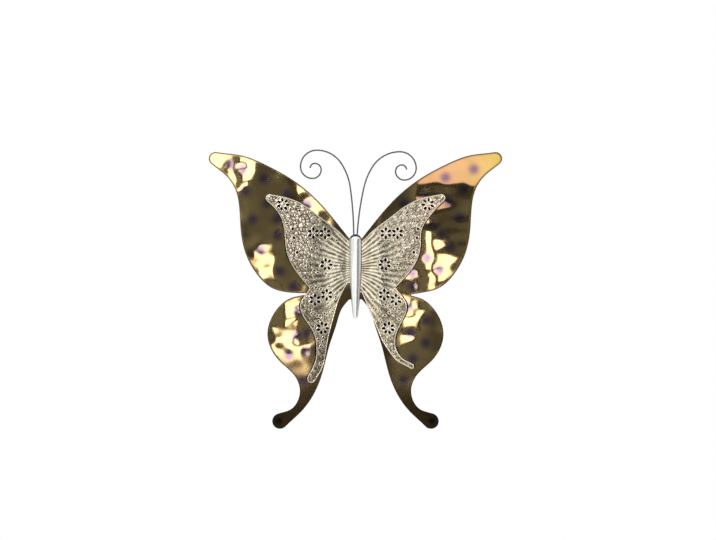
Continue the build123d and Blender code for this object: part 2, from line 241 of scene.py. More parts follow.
def wall_card(name, edges, distance, emission):
    """Upright card in front of the ornament, by its left, right, bottom and top edge."""
    left, right, bottom, top = edges
    corners = [(left, bottom), (right, bottom), (right, top), (left, top)]
    stage_card(name, [(x, -distance, z) for x, z in corners], emission)


def uneven_wall(name, patches_per_metre, darkest, lightest):
    """Wall with large soft differences of light."""
    material, tree = new_material(name)
    place = add(tree, "ShaderNodeTexCoord").outputs["Object"]
    shapes = add(tree, "ShaderNodeTexNoise", Vector=place, Scale=patches_per_metre, Detail=1.0)
    level = add(tree, "ShaderNodeMapRange", Value=shapes.outputs["Fac"], From_Min=USUAL_NOISE[0],
                From_Max=USUAL_NOISE[1], To_Min=darkest, To_Max=lightest)
    light = add(tree, "ShaderNodeEmission", Color=linear("#ffffff"), Strength=level.outputs[0])
    add(tree, "ShaderNodeOutputMaterial", Surface=light.outputs[0])
    return material


for name, (edges, set_back, patches, darkest, lightest) in FRONT_WALLS.items():
    wall_card(name, edges, WALL_DISTANCE + set_back, uneven_wall(name, patches, darkest, lightest))
white_room = uneven_wall("white_room", patches_per_metre=1.3, darkest=0.25, lightest=1.1)
wall_card("rear_wall", REAR_WALL, -WALL_DISTANCE, white_room)
for name, x in (("left_wall", -SIDE_DISTANCE), ("right_wall", SIDE_DISTANCE)):
    stage_card(name, [(x, -SIDE_REACH, ROOM_BOTTOM), (x, SIDE_REACH, ROOM_BOTTOM),
                      (x, SIDE_REACH, ROOM_TOP), (x, -SIDE_REACH, ROOM_TOP)], white_room)
print("walls in front:", ", ".join(FRONT_WALLS))

# %% [markdown]
# ## Evening window
#
# The tip of the right wing is peach in the photograph, and yellow at its end, as if it mirrored a
# window in evening light. The bronze could be painted peach there, but then it would stay peach
# from every side. So there is a window with a curtain of three tones, and a dark frame sets it off.

# %% Evening window
WINDOW = (-0.95, -0.05, 0.22, 0.90)
WINDOW_FRAME = (-0.98, -0.02, 0.14, 0.93)
CURTAIN_FROM, CURTAIN_TO = -0.62, -0.12
WINDOW_GLOW = 2.6
FRAME_GLOW = 0.1
FRAME_SET_BACK = 0.03


def evening_window():
    """Curtained window: rosy towards the dark side of the room, yellow at its open end."""
    material, tree = new_material("evening_window")
    place = add(tree, "ShaderNodeTexCoord").outputs["Object"]
    across = add(tree, "ShaderNodeSeparateXYZ", Vector=place)
    open_end = add(tree, "ShaderNodeMapRange", Value=across.outputs["X"], From_Min=CURTAIN_FROM,
                   From_Max=CURTAIN_TO)
    cloth = add(tree, "ShaderNodeValToRGB", Fac=open_end.outputs[0],
                stops=[(0.0, "#ffdfe9"), (0.6, "#ffeadd"), (1.0, "#fff6c8")])
    light = add(tree, "ShaderNodeEmission", Color=cloth.outputs["Color"], Strength=WINDOW_GLOW)
    add(tree, "ShaderNodeOutputMaterial", Surface=light.outputs[0])
    return material


black_frame = glow_material("black_frame", "#ffffff", FRAME_GLOW)
wall_card("window_frame", WINDOW_FRAME, WALL_DISTANCE + FRAME_SET_BACK, black_frame)
wall_card("evening_window", WINDOW, WALL_DISTANCE, evening_window())
print("window is", round(WINDOW[1] - WINDOW[0], 2), "m wide")

# %% [markdown]
# ## Soft boxes
#
# Each bright patch on the bronze is the mirror image of one soft box. A wing bends forward as it
# goes out, so it mirrors the room reversed: a box far from the middle shows near the body, and a
# box near the middle shows at the tip. The left wing mirrors boxes on the right. Every box has a
# dark frame, because a bright patch looks brighter beside a dark edge.

# %% Soft boxes
SOFT_BOX_GLOW = 6.0
FRAME_MARGIN = 0.03
FRAME_GROWTH = (-FRAME_MARGIN, FRAME_MARGIN, -FRAME_MARGIN, FRAME_MARGIN)
# Left, right, bottom and top edge in metres
SOFT_BOXES = {
    "tip_window": (0.12, 0.265, 0.24, 0.90),
    "upper_window": (0.385, 0.62, 0.29, 0.90),
    "shoulder_strip": (0.29, 0.52, 0.20, 0.265),
    "leading_strip": (1.10, 1.44, 0.108, 0.20),
    "left_fore_strip": (0.51, 0.81, -0.04, 0.025),
    "left_hind_upper": (0.89, 1.04, -0.15, -0.105),
    "left_hind_middle": (0.88, 1.06, -0.215, -0.168),
    "left_hind_lower": (0.73, 1.12, -0.305, -0.24),
    "right_streak": (-0.88, -0.79, -0.085, 0.10),
    "right_short_streak": (-0.74, -0.635, -0.073, 0.048),
    "right_notch_strip": (-1.35, -1.10, -0.107, -0.05),
    "right_hind_box": (-1.14, -1.02, -0.21, -0.13),
}

soft_box = glow_material("soft_box", "#fff6ff", SOFT_BOX_GLOW)
for name, edges in SOFT_BOXES.items():
    frame_edges = [edge + growth for edge, growth in zip(edges, FRAME_GROWTH)]
    wall_card(name + "_frame", frame_edges, WALL_DISTANCE + FRAME_SET_BACK, black_frame)
    wall_card(name, edges, WALL_DISTANCE, soft_box)
print(len(SOFT_BOXES), "soft boxes")

# %% [markdown]
# ## Strips for the body
#
# The body is a thin rounded pin, and shows white stripes with a dark line on the right. Boxes far
# away would be too small in so curved a mirror, so narrow strips stand close in front of it.

# %% Strips for the body
STRIP_DISTANCE = 0.045
STRIP_BOTTOM, STRIP_TOP = -0.1, 0.016
BODY_GLOW = 1.15

body_light = glow_material("body_light", "#ffffff", BODY_GLOW)
BODY_STRIPS = {
    "body_strip_left": (-0.017, -0.0075, body_light),
    "body_strip_right": (-0.006, 0.0115, body_light),
    "body_line": (0.0115, 0.0185, black_frame),
}
for name, (left, right, emission) in BODY_STRIPS.items():
    wall_card(name, (left, right, STRIP_BOTTOM, STRIP_TOP), STRIP_DISTANCE, emission)
print(len(BODY_STRIPS), "strips for the body")

# %% [markdown]
# ## Floor
#
# A plain pale floor lies well below the hanging ornament. The photograph's view ends above it, so
# it shows only in views from higher up.

# %% Floor
FLOOR_DROP = 0.42
FLOOR_RADIUS = 1.0
FLOOR_CORNERS = 96

floor_mesh = bpy.data.meshes.new("floor")
floor_ring = [(FLOOR_RADIUS * math.cos(a), FLOOR_RADIUS * math.sin(a), 0)
              for a in np.linspace(0, 2 * math.pi, FLOOR_CORNERS, endpoint=False)]
floor_mesh.from_pydata(floor_ring, [], [tuple(range(len(floor_ring)))])
floor = bpy.data.objects.new("floor", floor_mesh)
bpy.context.collection.objects.link(floor)
floor.location.z = cad_box[0][2] - FLOOR_DROP
# Board with rolled paint: matt and pale
floor_material, floor_tree = new_material("painted_board")
board = add(floor_tree, "ShaderNodeBsdfPrincipled", Base_Color=linear("#f2f2f0"), Roughness=0.6)
add(floor_tree, "ShaderNodeOutputMaterial", Surface=board.outputs["BSDF"])
floor_mesh.materials.append(floor_material)
print("floor lies at", round(floor.location.z, 3), "m")

# %% [markdown]
# ## Front of a CAD sheet
#
# A CAD wing is a smooth sheet with the true outline, and its triangles are long and uneven. To
# press a pattern into it, it needs many small even ones. Subdividing would keep the uneven shapes,
# so the sheet is meshed afresh. First come the triangles that face the front, told by their
# normals. A sliver's normal can't be trusted, so it counts by its corners.

# %% Front of a sheet
FRONT_FACING = -0.5
SLIVER_AREA = 1e-11


def front_triangles(mesh, weld):
    """Triangles that face the front, with the slivers among them, and the points of the first kind."""
    facing, slivers = [], []
    for triangle in mesh.loop_triangles:
        corners = tuple(weld[i] for i in triangle.vertices)
        if triangle.normal.y < FRONT_FACING:
            facing.append(corners)
        elif triangle.area < SLIVER_AREA:
            slivers.append(corners)
    used = {corner for corners in facing for corner in corners}
    facing += [corners for corners in slivers if used.issuperset(corners)]
    return facing, used


print("a triangle faces the front where its normal's y is under", FRONT_FACING)

# %% [markdown]
# ## Rim of a CAD sheet
#
# An edge of the front that only one triangle has lies on the outline or on a hole. Such edges are
# joined end to end into loops, and the loop with the largest area is the outline. The outline could
# be drawn again by hand, but reading it keeps both models the same.

# %% Rim of a sheet
SMALLEST_HOLE_MM2 = 1.0
WELD_DIGITS = 3


def enclosed(loop):
    """Area inside a closed loop of points."""
    after = np.roll(loop, -1, axis=0)
    return abs(np.sum(loop[:, 0] * after[:, 1] - loop[:, 1] * after[:, 0])) / 2


def rim_chains(triangles):
    """Closed chains of points along the edges that only one triangle has."""
    edges = {edge for a, b, c in triangles for edge in ((a, b), (b, c), (c, a))}
    following = {}
    for a, b in edges:
        if (b, a) not in edges:
            following.setdefault(a, []).append(b)
    chains = []
    while following:
        start = at = next(iter(following))
        chain = []
        while not chain or at != start:
            chain.append(at)
            at = following[at].pop()
            if not following[chain[-1]]:
                del following[chain[-1]]
        chains.append(chain)
    return chains


def front_of(node):
    """Front of a sheet node in mm: (x, z) loops of its rim, outline first, and (x, y) of its points."""
    mesh = frame["nodes"][node].data
    points = np.empty(len(mesh.vertices) * 3)
    mesh.vertices.foreach_get("co", points)
    points = points.reshape(-1, 3) / MM
    keys = {}
    weld = [keys.setdefault(tuple(np.round(p, WELD_DIGITS)), len(keys)) for p in points]
    places = np.array(list(keys))
    mesh.calc_loop_triangles()
    triangles, used = front_triangles(mesh, weld)
    loops = [places[chain][:, [0, 2]] for chain in rim_chains(triangles)]
    loops = [loop for loop in loops if enclosed(loop) > SMALLEST_HOLE_MM2]
    loops.sort(key=enclosed, reverse=True)
    return loops, places[sorted(used)][:, [0, 1]]


print("the right filigree has", len(front_of("right_filigree_wing")[0]) - 1, "holes in the CAD model")

# %% [markdown]
# ## Points along a rim and inside it
#
# The new sheet starts from even points along its rim, and from a test of which points lie on metal
# and which lie in a hole. A ray cast in Blender could test that too. Counting crossings needs no
# mesh, and does all points at once. A small square tries both out.

# %% Points along a rim and inside it
FEWEST_POINTS = 8


def even_loop(loop, step):
    """The same closed loop with points at even steps."""
    closed = np.vstack([loop, loop[:1]])
    along = np.concatenate([[0], np.cumsum(np.linalg.norm(np.diff(closed, axis=0), axis=1))])
    places = np.linspace(0, along[-1], max(FEWEST_POINTS, round(along[-1] / step)), endpoint=False)
    return np.column_stack([np.interp(places, along, closed[:, i]) for i in (0, 1)])


def inside(points, loops):
    """Which points lie inside the first loop and outside the others, by crossing count."""
    order = np.argsort(points[:, 1])
    xs, zs = points[order, 0], points[order, 1]
    count = np.zeros(len(points), int)
    for loop in loops:
        for (x0, z0), (x1, z1) in zip(loop, np.roll(loop, -1, axis=0)):
            low, high = np.searchsorted(zs, sorted((z0, z1)), side="right")
            if high > low:
                cross = x0 + (zs[low:high] - z0) * (x1 - x0) / (z1 - z0)
                count[low:high] += cross > xs[low:high]
    answer = np.empty(len(points), bool)
    answer[order] = count % 2 == 1
    return answer


TRIAL_STEP_MM = 2.0
trial_square = even_loop(np.array([(0.0, 0.0), (40.0, 0.0), (40.0, 40.0), (0.0, 40.0)]), TRIAL_STEP_MM)
trial_points = np.array([(20.0, 20.0), (50.0, 20.0)])
print("the square has", len(trial_square), "rim points, inside it:", inside(trial_points, [trial_square]))

# %% [markdown]
# ## Distance to a rim, and soft steps
#
# Burnt edges, collars and the rolled rim all follow a rim at some distance. A search tree of rim
# points gives that distance quickly. A smooth step turns a distance to something that fades, where
# a plain limit would leave a hard line in the metal.

# %% Distance to a rim, and soft steps
RIM_STEP_MM = 0.4


def point_tree(points):
    """Search tree of flat points."""
    tree = kdtree.KDTree(len(points))
    for i, (x, z) in enumerate(points):
        tree.insert((x, z, 0), i)
    tree.balance()
    return tree


def rim_distance(points, loops):
    """Distance of each point to the nearest rim, in mm."""
    tree = point_tree(np.vstack([even_loop(loop, RIM_STEP_MM) for loop in loops]))
    return np.array([tree.find((x, z, 0))[2] for x, z in points])


def soft_step(value, low, high):
    """0 below low, 1 above high, smooth between."""
    t = np.clip((value - low) / (high - low), 0, 1)
    return t * t * (3 - 2 * t)


print("the trial points lie", rim_distance(trial_points, [trial_square]).round(1), "mm from the square's rim")

# %% [markdown]
# ## Filling a sheet with even triangles
#
# A honeycomb of points fills the area, kept a little away from the rim, and a constrained
# triangulation joins them to the rim's own points. A grid of squares would leave steps along the
# curved outline. This way the rim's points stay on the CAD outline.

# %% Filling a sheet
CLEAR_OF_RIM = 0.6
JOIN_MM = 1e-5


def fill_sheet(loops, step):
    """Points and triangles between the first loop and the others."""
    low, high = loops[0].min(axis=0), loops[0].max(axis=0)
    columns = np.arange(low[0], high[0], step)
    rows = np.arange(low[1], high[1], step * math.sqrt(3) / 2)
    grid = np.vstack([np.column_stack([columns + (i % 2) * step / 2, np.full(len(columns), z)])
                      for i, z in enumerate(rows)])
    grid = grid[inside(grid, loops)]
    grid = grid[rim_distance(grid, loops) > CLEAR_OF_RIM * step]
    rim_edges = []
    first = 0
    for loop in loops:
        count = len(loop)
        rim_edges += [(first + i, first + (i + 1) % count) for i in range(count)]
        first += count
    points = np.vstack([*loops, grid])
    made = delaunay_2d_cdt([Vector(p) for p in points], rim_edges, [], 0, JOIN_MM)
    flat = np.array([v[:] for v in made[0]])
    triangles = np.array(made[2])
    return flat, triangles[inside(flat[triangles].mean(axis=1), loops)]


print("filled, that square has", len(fill_sheet([trial_square], TRIAL_STEP_MM)[1]), "triangles")

# %% [markdown]
# ## Closing a sheet
#
# The filled front gets its depth, the back follows at the sheet's thickness, and a strip of quads
# closes the rim. A Solidify modifier would do the same, but here front and back keep their point
# numbers, so that a value can be painted on the front alone.

# %% Closing a sheet
CREASE_DEGREES = 50


def sheet_mesh(name, flat, triangles, depth, thickness):
    """Closed sheet: front triangles at a depth, a back at its thickness, and the rim between."""
    front = np.column_stack([flat[:, 0], depth, flat[:, 1]]) * MM
    back = front + np.array([0, thickness * MM, 0])
    a, b, c = (flat[triangles[:, i]] for i in range(3))
    turn = (b[:, 0] - a[:, 0]) * (c[:, 1] - a[:, 1]) - (b[:, 1] - a[:, 1]) * (c[:, 0] - a[:, 0])
    triangles = np.where(turn[:, None] > 0, triangles, triangles[:, ::-1])
    n = len(flat)
    sides = np.vstack([triangles[:, [0, 1]], triangles[:, [1, 2]], triangles[:, [2, 0]]])
    present = set(map(tuple, sides))
    rim = [(i, j) for i, j in present if (j, i) not in present]
    quads = [(j, i, i + n, j + n) for i, j in rim]
    faces = [tuple(t) for t in triangles] + [tuple(t[::-1] + n) for t in triangles] + quads
    mesh = bpy.data.meshes.new(name)
    mesh.from_pydata([tuple(v) for v in np.vstack([front, back])], [], faces)
    mesh.polygons.foreach_set("use_smooth", [True] * len(faces))
    mesh.set_sharp_from_angle(angle=math.radians(CREASE_DEGREES))
    mesh.validate()
    piece = bpy.data.objects.new(name, mesh)
    bpy.context.collection.objects.link(piece)
    return piece


def paint(piece, name, front, back):
    """Store one value per point of the front and of the back, for a material to read."""
    layer = piece.data.attributes.new(name, "FLOAT", "POINT")
    layer.data.foreach_set("value", np.concatenate([front, back]).astype(np.float32))


print("edges sharper than", CREASE_DEGREES, "degrees stay sharp")

# %% [markdown]
# ## Depth of a sheet
#
# Both kinds of wing are bent once at the root and then sweep forward in a slow curve. The depth is
# read from the CAD sheet's own points: up to the bend as it is, and beyond it through a smooth fit,
# because the long CAD facets would show as bands in a mirror.

# %% Depth of a sheet
BENT_BY_MM = 19.0
FIT_DEGREE = 4


def section_curve(points):
    """Depth over x of a sheet: its own points up to the bend, a smooth fit of them beyond."""
    order = np.argsort(np.abs(points[:, 0]))
    xs, ys = np.abs(points[order, 0]), points[order, 1]
    far = xs > BENT_BY_MM
    fit = np.polynomial.Polynomial.fit(xs[far], ys[far], FIT_DEGREE)
    print("  depth fit is within", round(float(np.abs(fit(xs[far]) - ys[far]).max()), 3), "mm")
    return lambda x: np.where(x > BENT_BY_MM, fit(x), np.interp(x, xs, ys))


print("the bend ends", BENT_BY_MM, "mm from the middle")

# %% [markdown]
# ## Hammered bronze: the finish
#
# The outer wings are bronze sheet, polished after hammering and then heated with a torch. Polish
# makes it a mirror, age makes the mirror dark, and the torch leaves mauve spots and a burnt rim.
# The spots could be a noise pattern, but they sit in the hammer's dents, so the mesh carries them:
# two painted values tell the material where they are: the tint, and a darkening that holds the burnt
# rim and tails as well as painted shade.

# %% Hammered bronze finish
CLOUD_MM = 30.0
SCUFF_MM = 6.0
POLISHED, SCUFFED = 0.02, 0.06
DARKENED_ROUGHNESS = 0.2


def hammered_bronze():
    """Bronze, hammered, polished and heat tinted: a dark golden mirror with mauve spots."""
    material, tree = new_material("hammered_bronze")
    place = add(tree, "ShaderNodeTexCoord").outputs["Object"]
    clouds = add(tree, "ShaderNodeTexNoise", Vector=place, Scale=1 / (CLOUD_MM * MM), Detail=3.0)
    metal = add(tree, "ShaderNodeValToRGB", Fac=clouds.outputs["Fac"],
                stops=[(0.3, "#978356"), (0.7, "#a59163")])
    heat = add(tree, "ShaderNodeAttribute", {"attribute_name": "tint"})
    tinted = add(tree, "ShaderNodeMix", {"data_type": "RGBA"}, Factor=heat.outputs["Fac"],
                 _6=metal.outputs["Color"], _7=linear("#665862"))
    # Darkening: the burnt rim and tails, and painted shade down the hind lobe, behind the lace and at the
    # root
    darkening = add(tree, "ShaderNodeAttribute", {"attribute_name": "darkening"})
    darkened = add(tree, "ShaderNodeMix", {"data_type": "RGBA"}, Factor=darkening.outputs["Fac"],
                   _6=tinted.outputs[2], _7=linear("#21180c"))
    # Polishing scratches are far finer than a pixel, so the polish varies over a few millimetres
    scuff = add(tree, "ShaderNodeTexNoise", Vector=place, Scale=1 / (SCUFF_MM * MM), Detail=4.0)
    polish = add(tree, "ShaderNodeMapRange", Value=scuff.outputs["Fac"], To_Min=POLISHED, To_Max=SCUFFED)
    dull = add(tree, "ShaderNodeMath", {"operation": "MULTIPLY_ADD"}, _0=darkening.outputs["Fac"],
               _1=DARKENED_ROUGHNESS, _2=polish.outputs[0])
    shader = add(tree, "ShaderNodeBsdfPrincipled", Base_Color=darkened.outputs[2], Metallic=1.0,
                 Roughness=dull.outputs[0])
    add(tree, "ShaderNodeOutputMaterial", Surface=shader.outputs["BSDF"])
    return material


bronze = hammered_bronze()
print("finish", bronze.name, "has", len(bronze.node_tree.nodes), "nodes")

# %% [markdown]
# ## Hammered bronze: dents and swells
#
# A round hammer leaves soft dents about a centimetre across, and between them the sheet swells in
# slow waves. A bump map could show both, but real waves in the mesh bend a mirror image from every
# side, so they are added to the depth: a twentieth of a millimetre for a dent, a tenth for the
# longest swells. Each wing has dents of its own, listed after the photograph, and the waves are a
# sum of sines with a fixed seed.

# %% Dents and swells
DENT_DEPTH_MM = 0.05
DENT_RADIUS_MM = 4.5
HEAT_SPREAD, HEAT_EDGE = 2.4, 1.3
# Height and usual length of the waves
SWELLS_MM = ((0.10, 46.0), (0.010, 19.0))
WAVES_PER_SWELL = 14
SHORTEST, LONGEST = 0.7, 1.8
RIGHT_DENTS_MM = [
    (147, 100), (112, 90), (134, 75), (116, 59), (129, 41), (96, 30), (108, 20), (118, 4), (89, -10),
    (104, -25), (71, -29), (71, -45), (66, -71), (89, -88), (68, -104), (88, -116), (72, -136),
    (61, -164), (98, -213), (86, 66),
]
LEFT_DENTS_MM = [
    (155, 106), (140, 100), (113, 89), (137, 73), (85, 70), (109, 58), (127, 37), (97, 39), (97, 18),
    (118, 0), (94, -26), (77, -45), (71, -76), (73, -107), (61, -104), (83, -131), (62, -127),
    (65, -164), (99, -214),
]
COVERED_DENTS_MM = [(60, 58), (36, 20), (62, 18), (40, -14), (34, -48), (44, -84), (47, -126)]


def swell(x, z, seed):
    """Slow waves of the hammered sheet, in mm, the same on every run."""
    rng = np.random.default_rng(seed)
    total = np.zeros_like(x)
    for height, usual_length in SWELLS_MM:
        for _ in range(WAVES_PER_SWELL):
            turn, shift = rng.uniform(0, 2 * math.pi, 2)
            length = usual_length * rng.uniform(SHORTEST, LONGEST)
            across = x * math.cos(turn) + z * math.sin(turn)
            total += height / math.sqrt(WAVES_PER_SWELL / 2) * np.sin(2 * math.pi / length * across + shift)
    return total


def hammer_marks(x, z, dents):
    """Depth of the dents in mm, and the heat tint in them from 0 to 1."""
    depth, heat = np.zeros(len(x)), np.zeros(len(x))
    for dent_x, dent_z in dents:
        away = ((x - dent_x) ** 2 + (z - dent_z) ** 2) / DENT_RADIUS_MM**2
        depth += DENT_DEPTH_MM * np.exp(-away / 2)
        heat = np.maximum(heat, np.exp(-(away / HEAT_SPREAD) ** HEAT_EDGE))
    return depth, heat


print(len(RIGHT_DENTS_MM), "open dents on the right wing,", len(LEFT_DENTS_MM), "on the left")

# %% [markdown]
# ## Hammered bronze: burnt metal and painted shade
#
# The torch burns the thin rim and the narrow tails. Painted shade darkens the hind lobe downwards,
# front and back. On the front the root and the metal behind the lace are painted dark as shade too,
# so the lace stands out: a guess from how dark they look in the photograph. A second material could
# be given to those faces, but a painted value fades softly. The back gets only the burn and the hind
# lobe's shade.

# %% Burnt metal and painted shade
RIM_BURN_MM = 1.5
TAIL_END_MM = (95.0, -213.0)
TAIL_BURN, TAIL_BURN_MM = 1.2, 14
# Painted shade down the hind lobe: how dark it gets, and where it fades in
HIND_PAINTED_SHADE, HIND_PAINTED_SHADE_MM = 0.9, (120, 200)
# Painted shade on the front: behind the lace, and at the lower and upper root
BEHIND_LACE_MM = (1.5, 5)
LOWER_ROOT, LOWER_ROOT_DROP_MM, LOWER_ROOT_REACH_MM = 0.9, (30, 50), (-60, -35)
UPPER_ROOT, UPPER_ROOT_RISE_MM, UPPER_ROOT_REACH_MM = 0.85, (0, 20), (-36, -24)


def burnt(x, z, rim):
    """Share of dark metal: burnt at the rim and the tail's end, painted shade down the hind lobe."""
    tail = np.hypot(x - TAIL_END_MM[0], z - TAIL_END_MM[1])
    darkening = np.maximum(np.exp(-(rim / RIM_BURN_MM) ** 2), np.clip(TAIL_BURN - tail / TAIL_BURN_MM, 0, 1))
    return np.maximum(darkening, HIND_PAINTED_SHADE * soft_step(-z, *HIND_PAINTED_SHADE_MM))


def painted_shade(flat, lace_outline):
    """Share of painted shade: behind the lace, and at the lower and upper part of the root."""
    x, z = np.abs(flat[:, 0]), flat[:, 1]
    behind = inside(flat, lace_outline) * soft_step(rim_distance(flat, lace_outline), *BEHIND_LACE_MM)
    lower = LOWER_ROOT * soft_step(-z, *LOWER_ROOT_DROP_MM) * soft_step(-x, *LOWER_ROOT_REACH_MM)
    upper = UPPER_ROOT * soft_step(z, *UPPER_ROOT_RISE_MM) * soft_step(-x, *UPPER_ROOT_REACH_MM)
    return np.maximum(np.maximum(behind, lower), upper)


print("the burnt rim fades over about", RIM_BURN_MM, "mm")

# %% [markdown]
# ## Hammered bronze: the wings
#
# One function makes either wing. Near the body the sheet is clamped flat, so the relief fades in
# from the bend. A finer mesh would only make the model heavier: a step of one millimetre is enough
# for dents of this size, with smooth shading between the points.

# %% Hammered bronze wings
BRONZE_STEP_MM = 1.0
BRONZE_SHEET_MM = 0.8
RELIEF_FADE_MM = 15


def bronze_wing(node, dents, seed):
    """Hammered wing that stands for an outer wing of the CAD model."""
    loops, front = front_of(node)
    depth_at = section_curve(front)
    loops = [even_loop(loops[0], BRONZE_STEP_MM)] + loops[1:]
    flat, triangles = fill_sheet(loops, BRONZE_STEP_MM)
    x, z = np.abs(flat[:, 0]), flat[:, 1]
    hammered, heat = hammer_marks(x, z, dents + COVERED_DENTS_MM)
    relief = (swell(x, z, seed) + hammered) * np.clip((x - BENT_BY_MM) / RELIEF_FADE_MM, 0, 1)
    piece = sheet_mesh(node.replace("outer", "bronze"), flat, triangles, depth_at(x) + relief,
                       BRONZE_SHEET_MM)
    darkening = burnt(x, z, rim_distance(flat, loops[:1]))
    lace_outline = front_of(node.replace("outer", "filigree"))[0][:1]
    paint(piece, "tint", heat, heat)
    # The front gets the burn and all painted shade; the back gets the burn and the hind lobe's painted shade
    paint(piece, "darkening", np.maximum(darkening, painted_shade(flat, lace_outline)), darkening)
    piece.data.materials.append(bronze)
    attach(piece, "ornament")
    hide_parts(node)
    print(" ", piece.name, len(piece.data.polygons), "faces")


bronze_wing("right_outer_wing", RIGHT_DENTS_MM, seed=1459)
bronze_wing("left_outer_wing", LEFT_DENTS_MM, seed=71)

# %% [markdown]
# ## Pierced filigree: the finish
#
# The smaller wings are thin silver-plated sheet, embossed from behind and lacquered in a warm
# champagne tone. The hollows are darker: partly the dark polish they keep, partly painted shade, so
# the pattern reads even without a shadow. A noise texture doesn't know where the hollows are, so the
# mesh carries the height of the pattern and the material turns it to a tone.

# %% Lacquered silver finish
LACQUER_ROUGHNESS = 0.14


def lacquered_silver():
    """Embossed, lacquered silver plate: bright ridges, hollows dark from polish and painted shade."""
    material, tree = new_material("lacquered_silver_plate")
    height = add(tree, "ShaderNodeAttribute", {"attribute_name": "height"})
    # The dark end of the ramp is the polish left in the hollows together with painted shade
    tone = add(tree, "ShaderNodeValToRGB", Fac=height.outputs["Fac"],
               stops=[(0.0, "#443c2c"), (0.35, "#aa9f86"), (0.7, "#e2d8c0"), (1.0, "#faf4e5")])
    shader = add(tree, "ShaderNodeBsdfPrincipled", Base_Color=tone.outputs["Color"], Metallic=1.0,
                 Roughness=LACQUER_ROUGHNESS)
    add(tree, "ShaderNodeOutputMaterial", Surface=shader.outputs["BSDF"])
    return material


silver = lacquered_silver()
print("finish", silver.name, "has", len(silver.node_tree.nodes), "nodes")

# %% [markdown]
# ## Pierced filigree: cells of the lace
#
# Away from the body the sheet is a net of small raised cells with grooves between them. Lace of
# this kind follows the fan of the wing, so the cells stand in rows round a centre behind the body,
# each one moved a little at random. A cell texture in the material could draw a net too, but not
# in a fan, and not as real relief.

# %% Cells of the lace
FAN_CENTRE_MM = (-15.0, -22.0)
FAN_REACH = (-1.3, 1.1)
LACE_RADII_MM = (30, 175)
LACE_PITCH_MM = 3.2
LACE_ROW_MM = 5.5
PITCH_SCATTER, ROW_SCATTER = 0.35, 0.45


def lace_cells(seed):
    """Cells of the lace in uneven rows round the fan's centre: middle, direction and a random tone."""
    rng = np.random.default_rng(seed)
    middles, turns = [], []
    for radius in np.arange(*LACE_RADII_MM, LACE_ROW_MM):
        count = round((FAN_REACH[1] - FAN_REACH[0]) * radius / LACE_PITCH_MM)
        scatter = rng.uniform(-PITCH_SCATTER, PITCH_SCATTER, count) * LACE_PITCH_MM / radius
        turn = np.linspace(*FAN_REACH, count) + scatter
        reach = radius + rng.uniform(-ROW_SCATTER, ROW_SCATTER, count) * LACE_ROW_MM
        middles.append(np.column_stack([reach * np.cos(turn), reach * np.sin(turn)]) + FAN_CENTRE_MM)
        turns.append(turn)
    middles, turns = np.vstack(middles), np.concatenate(turns)
    return middles, turns, rng.uniform(size=len(turns))


def nearest_cells(x, z, middles):
    """Distances of each point to its nearest two cell middles, and the nearest one's number."""
    tree = point_tree(middles)
    found = [tree.find_n((px, pz, 0), 2) for px, pz in zip(x, z)]
    near = np.array([[hit[2] for hit in pair] for pair in found])
    return near[:, 0], near[:, 1], np.array([pair[0][1] for pair in found])


print("the fan has", len(np.arange(*LACE_RADII_MM, LACE_ROW_MM)), "rows of cells")

# %% [markdown]
# ## Pierced filigree: pleats and net
#
# Near the body the sheet is pleated like a fan, and the pleats dissolve into the net further out.
# Both could be carved by hand. Here they are heights from 0 in a hollow to 1 on a ridge: a cosine
# across each pleat, a groove where a point is as near to a second cell as to its own, and a bead
# in about every fifth cell.

# %% Pleats and net
PLEATS_PER_RADIAN = 58.0
PLEAT_SWAY, PLEAT_SWAY_MM = 0.6, 7.0
PLEAT_HEIGHT, PLEAT_TONE = 0.42, 0.3
GROOVE_MM, GROOVE_DEPTH = (0.1, 1.3), 0.85
LOWEST_CELL = 0.3
BEADED_FROM, BEAD_MM = 0.8, (0.4, 1.1)
HIND_SHADE, HIND_SHADE_MM = 0.3, (45, 70)
LEAST_NET, NET_FROM_MM = 0.15, (45, 95)


def pleats_and_net(x, z, cells):
    """Height of the pleats near the body and of the net of cells further out."""
    middles, _, tones = cells
    dx, dz = x - FAN_CENTRE_MM[0], z - FAN_CENTRE_MM[1]
    radius = np.hypot(dx, dz)
    phase = np.arctan2(dz, dx) * PLEATS_PER_RADIAN + PLEAT_SWAY * np.sin(radius / PLEAT_SWAY_MM)
    first, second, cell = nearest_cells(x, z, middles)
    tone = tones[cell]
    groove = 1 - soft_step(second - first, *GROOVE_MM)
    bead = (tone > BEADED_FROM) * (1 - soft_step(first, *BEAD_MM))
    raised = (LOWEST_CELL + (1 - LOWEST_CELL) * tone) * (1 - GROOVE_DEPTH * groove)
    net = np.maximum(raised, bead) * (1 - HIND_SHADE * soft_step(-z, *HIND_SHADE_MM))
    pleat = 0.5 + PLEAT_HEIGHT * np.cos(phase) + PLEAT_TONE * (tone - 0.5)
    return pleat + (net - pleat) * (LEAST_NET + (1 - LEAST_NET) * soft_step(radius, *NET_FROM_MM))


print("pleats turn to net", NET_FROM_MM[0], "to", NET_FROM_MM[1], "mm from the fan's centre")

# %% [markdown]
# ## Pierced filigree: rosettes, collars and rim
#
# The rosettes are pierced in the CAD sheet already. Here rings are pressed round each of them,
# every hole gets a raised collar, and the edge of the sheet is a smooth round rim, as on a sheet
# that is rolled over a wire.

# %% Rosettes, collars and rim
# Middle of each rosette and the radius of its ring
ROSETTES_MM = [
    (38, 21, 5.2), (52.5, 21, 5.2), (90, 56.5, 5.8), (36.5, -18, 5.6), (36, -56, 5.2),
    (50.5, -62, 5.2), (41, -97.5, 5.8),
]
ROSETTE_FADE_MM = (3.4, 4.6)
ROSETTE_LEVEL, ROSETTE_WAVE, ROSETTE_WAVE_MM = 0.65, 0.3, 5.0
COLLAR_HEIGHT, COLLAR_AT_MM, COLLAR_FADE_MM = 0.9, 0.5, (0.2, 0.9)
RIM_WIDTH_MM = 1.3
RIM_GROOVE_MM = (RIM_WIDTH_MM - 0.4, RIM_WIDTH_MM + 0.8)


